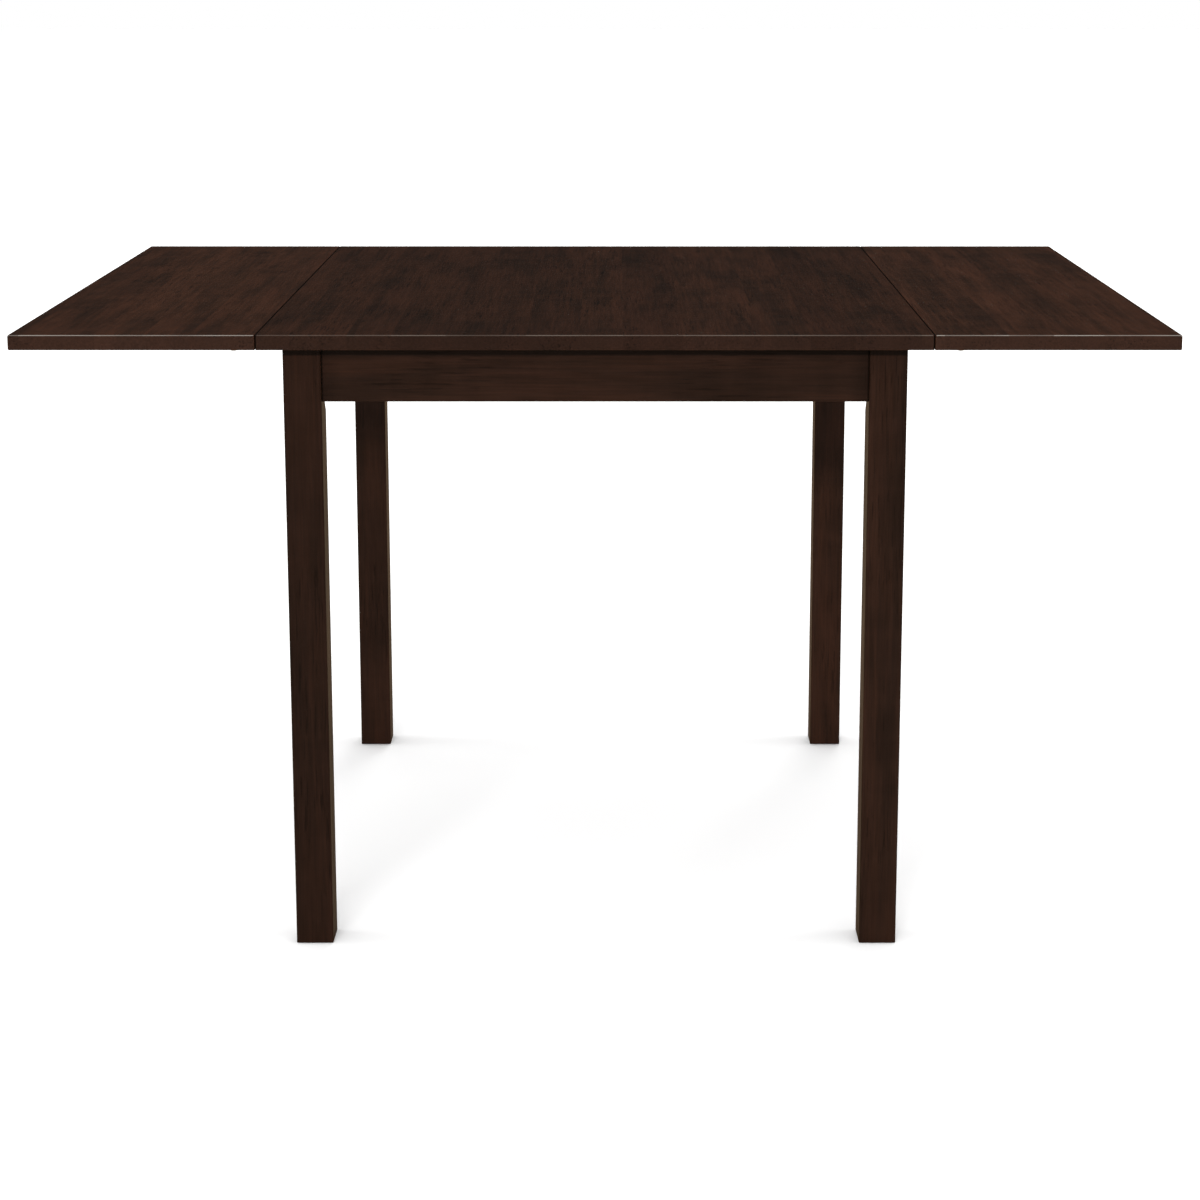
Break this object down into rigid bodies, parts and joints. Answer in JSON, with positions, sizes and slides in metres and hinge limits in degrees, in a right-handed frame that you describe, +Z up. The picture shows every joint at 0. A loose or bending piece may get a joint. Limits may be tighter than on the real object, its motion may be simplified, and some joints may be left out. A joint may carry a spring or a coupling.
{
  "type": "extending dining table",
  "caption": "Drop-leaf dining table with square legs, a boxed apron frame, hinged end leaves and folding locking stays.",
  "frame": {"origin": "on the floor under the middle of the table, leaves up", "axes": "+X from the left leaf to the right leaf, -Y to the front, +Z up"},
  "size_m": [1.3636, 0.902, 0.762],
  "materials": {
    "top_wood": "dark espresso stain, satin lacquer",
    "frame_wood": "dark espresso stain, satin lacquer",
    "block_wood": "unfinished sawn hardwood",
    "glide_plastic": "moulded",
    "zinc_fastener": "zinc plated",
    "bracket_steel": "zinc plated pressed sheet",
    "stay_steel": "zinc plated blanked strip",
    "rivet_steel": "bright steel, peened",
    "spring_steel": "blued spring steel"
  },
  "bodies": {
    "table_frame": {"centre_top": "top_wood", "leg_front_left": "frame_wood", "leg_back_left": "frame_wood", "leg_front_right": "frame_wood", "leg_back_right": "frame_wood", "apron_front": "frame_wood", "apron_back": "frame_wood", "apron_left": "frame_wood", "apron_right": "frame_wood", "corner_block_front_left": "block_wood", "corner_block_back_left": "block_wood", "corner_block_front_right": "block_wood", "corner_block_back_right": "block_wood", "foot_glides": "glide_plastic", "hanger_bolts": "zinc_fastener", "bolt_washers": "zinc_fastener", "bolt_nuts": "zinc_fastener", "frame_screws": "zinc_fastener", "hinge_frame_plate_front_left": "bracket_steel", "hinge_frame_plate_back_left": "bracket_steel", "hinge_frame_plate_front_right": "bracket_steel", "hinge_frame_plate_back_right": "bracket_steel", "hinge_pins": "rivet_steel", "frame_hardware_screws": "zinc_fastener", "stay_apron_bracket_front_left": "bracket_steel", "stay_apron_bracket_back_left": "bracket_steel", "stay_apron_bracket_front_right": "bracket_steel", "stay_apron_bracket_back_right": "bracket_steel", "stay_frame_rivets": "rivet_steel"},
    "left_drop_leaf": {"left_leaf": "top_wood", "hinge_leaf_plate_front_left": "bracket_steel", "hinge_leaf_plate_back_left": "bracket_steel", "left_leaf_screws": "zinc_fastener", "stay_leaf_bracket_front_left": "bracket_steel", "stay_leaf_bracket_back_left": "bracket_steel", "left_leaf_rivets": "rivet_steel"},
    "right_drop_leaf": {"right_leaf": "top_wood", "hinge_leaf_plate_front_right": "bracket_steel", "hinge_leaf_plate_back_right": "bracket_steel", "right_leaf_screws": "zinc_fastener", "stay_leaf_bracket_front_right": "bracket_steel", "stay_leaf_bracket_back_right": "bracket_steel", "right_leaf_rivets": "rivet_steel"},
    "front_left_stay_arm": {"stay_arm_front_left": "stay_steel", "stay_catch_front_left": "spring_steel", "stay_arm_rivets_front_left": "rivet_steel"},
    "front_left_stay_link": {"stay_link_front_left": "stay_steel"},
    "back_left_stay_arm": {"stay_arm_back_left": "stay_steel", "stay_catch_back_left": "spring_steel", "stay_arm_rivets_back_left": "rivet_steel"},
    "back_left_stay_link": {"stay_link_back_left": "stay_steel"},
    "front_right_stay_arm": {"stay_arm_front_right": "stay_steel", "stay_catch_front_right": "spring_steel", "stay_arm_rivets_front_right": "rivet_steel"},
    "front_right_stay_link": {"stay_link_front_right": "stay_steel"},
    "back_right_stay_arm": {"stay_arm_back_right": "stay_steel", "stay_catch_back_right": "spring_steel", "stay_arm_rivets_back_right": "rivet_steel"},
    "back_right_stay_link": {"stay_link_back_right": "stay_steel"}
  },
  "joints": [
    {"name": "left_leaf_hinge", "type": "hinge", "parent": "table_frame", "child": "left_drop_leaf", "pos_m": [-0.3944, 0, 0.741], "axis": [0, -1, 0], "range_deg": [0, 90]},
    {"name": "right_leaf_hinge", "type": "hinge", "parent": "table_frame", "child": "right_drop_leaf", "pos_m": [0.3944, 0, 0.741], "axis": [0, 1, 0], "range_deg": [0, 90]},
    {"name": "front_left_stay_pivot", "type": "hinge", "parent": "table_frame", "child": "front_left_stay_arm", "pos_m": [-0.3784, -0.12125, 0.713], "axis": [0, -1, 0], "range_deg": [0, 90]},
    {"name": "front_left_stay_knuckle", "type": "hinge", "parent": "front_left_stay_arm", "child": "front_left_stay_link", "pos_m": [-0.4704, -0.12125, 0.705], "axis": [0, 1, 0], "range_deg": [0, 90], "deforming": ["stay_catch_front_left"]},
    {"name": "back_left_stay_pivot", "type": "hinge", "parent": "table_frame", "child": "back_left_stay_arm", "pos_m": [-0.3784, 0.12125, 0.713], "axis": [0, -1, 0], "range_deg": [0, 90]},
    {"name": "back_left_stay_knuckle", "type": "hinge", "parent": "back_left_stay_arm", "child": "back_left_stay_link", "pos_m": [-0.4704, 0.12125, 0.705], "axis": [0, 1, 0], "range_deg": [0, 90], "deforming": ["stay_catch_back_left"]},
    {"name": "front_right_stay_pivot", "type": "hinge", "parent": "table_frame", "child": "front_right_stay_arm", "pos_m": [0.3784, -0.12125, 0.713], "axis": [0, 1, 0], "range_deg": [0, 90]},
    {"name": "front_right_stay_knuckle", "type": "hinge", "parent": "front_right_stay_arm", "child": "front_right_stay_link", "pos_m": [0.4704, -0.12125, 0.705], "axis": [0, -1, 0], "range_deg": [0, 90], "deforming": ["stay_catch_front_right"]},
    {"name": "back_right_stay_pivot", "type": "hinge", "parent": "table_frame", "child": "back_right_stay_arm", "pos_m": [0.3784, 0.12125, 0.713], "axis": [0, 1, 0], "range_deg": [0, 90]},
    {"name": "back_right_stay_knuckle", "type": "hinge", "parent": "back_right_stay_arm", "child": "back_right_stay_link", "pos_m": [0.4704, 0.12125, 0.705], "axis": [0, -1, 0], "range_deg": [0, 90], "deforming": ["stay_catch_back_right"]}
  ],
  "couplings": [
    {"joint": "front_left_stay_pivot", "follows": "left_leaf_hinge", "ratio": 1},
    {"joint": "front_left_stay_knuckle", "follows": "left_leaf_hinge", "ratio": 1},
    {"joint": "back_left_stay_pivot", "follows": "left_leaf_hinge", "ratio": 1},
    {"joint": "back_left_stay_knuckle", "follows": "left_leaf_hinge", "ratio": 1},
    {"joint": "front_right_stay_pivot", "follows": "right_leaf_hinge", "ratio": 1},
    {"joint": "front_right_stay_knuckle", "follows": "right_leaf_hinge", "ratio": 1},
    {"joint": "back_right_stay_pivot", "follows": "right_leaf_hinge", "ratio": 1},
    {"joint": "back_right_stay_knuckle", "follows": "right_leaf_hinge", "ratio": 1}
  ]
}
